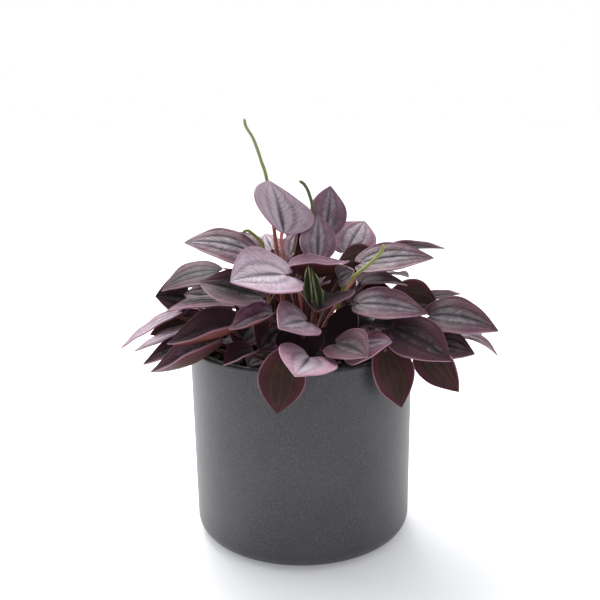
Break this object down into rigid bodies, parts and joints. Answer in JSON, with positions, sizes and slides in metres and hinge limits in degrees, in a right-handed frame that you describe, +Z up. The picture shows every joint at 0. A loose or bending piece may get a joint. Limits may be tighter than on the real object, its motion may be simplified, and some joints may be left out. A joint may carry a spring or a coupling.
{
  "type": "potted peperomia",
  "caption": "Bushy potted house plant with heart-shaped, deeply veined silver-purple leaves and slender flower spikes, in a round charcoal cover pot.",
  "frame": {"origin": "centre of the pot's flat underside, on the surface that it stands on", "axes": "+Z up along the pot's axis, +X to the right seen from the front, +Y from front to back"},
  "size_m": [0.222, 0.1969, 0.2432],
  "materials": {
    "pot_glaze": "matte charcoal with a fine pale speckle",
    "nursery_plastic": "satin black thin-walled plastic",
    "potting_mix": "crumbly dark brown potting mix",
    "leaf": "satin puckered leaf, silver-lilac between dark sunken veins, pink-edged, with a maroon underside",
    "stalk": "satin salmon-red leaf stalk",
    "spike": "fine-grained yellow-green flower spike"
  },
  "bodies": {
    "root": {"pot": "pot_glaze", "nursery_pot": "nursery_plastic", "soil": "potting_mix", "crown_centre": "leaf", "crown_left": "leaf", "crown_right": "leaf", "crown_front": "leaf", "crown_back_left": "leaf", "crown_back_right": "leaf", "flower_spike_1": "spike", "flower_spike_2": "spike", "flower_spike_3": "spike", "flower_spike_4": "spike"}
  },
  "joints": []
}
